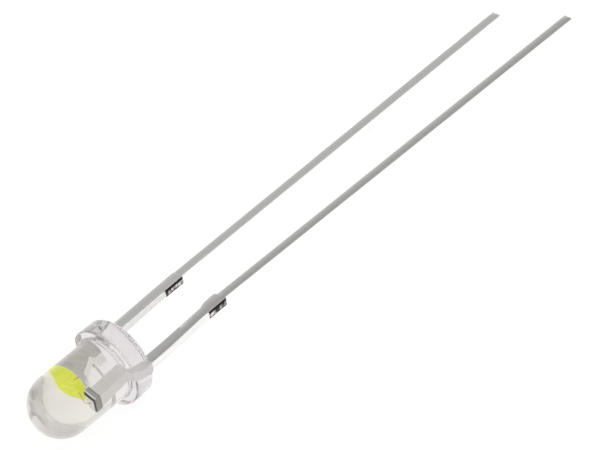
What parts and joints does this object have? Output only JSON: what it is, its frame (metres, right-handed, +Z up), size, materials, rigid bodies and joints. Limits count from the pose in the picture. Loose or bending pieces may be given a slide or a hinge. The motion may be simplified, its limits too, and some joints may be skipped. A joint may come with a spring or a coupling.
{
  "type": "through hole led",
  "caption": "Round clear light-emitting diode with a domed lens, a flange with a cathode flat and long straight wire leads for through-hole mounting.",
  "frame": {"origin": "centre of the flange's rear face, the face that seats on a board", "axes": "the lamp lies as it comes to rest: +X runs back along the leads, dipped 3.83 degrees below the lamp's own axis, the dome points to -X, the cathode is on the +Y side and the anode on the -Y side, +Z is up"},
  "size_m": [0.0332, 0.0035, 0.0039],
  "materials": {
    "clear_epoxy": "water clear cast epoxy, polished by its mould",
    "tinned_lead": "tin plated steel strip, satin, bare metal at the sheared ends",
    "chip": "polished sapphire die",
    "adhesive": "cured die attach adhesive",
    "phosphor": "yellow green phosphor in silicone",
    "bond_wire": "drawn gold wire"
  },
  "bodies": {
    "root": {"epoxy_body": "clear_epoxy", "cathode_lead": "tinned_lead", "anode_lead": "tinned_lead", "led_chip": "chip", "chip_adhesive": "adhesive", "phosphor_fill": "phosphor", "anode_bond_wire": "bond_wire", "cathode_bond_wire": "bond_wire"}
  },
  "joints": []
}
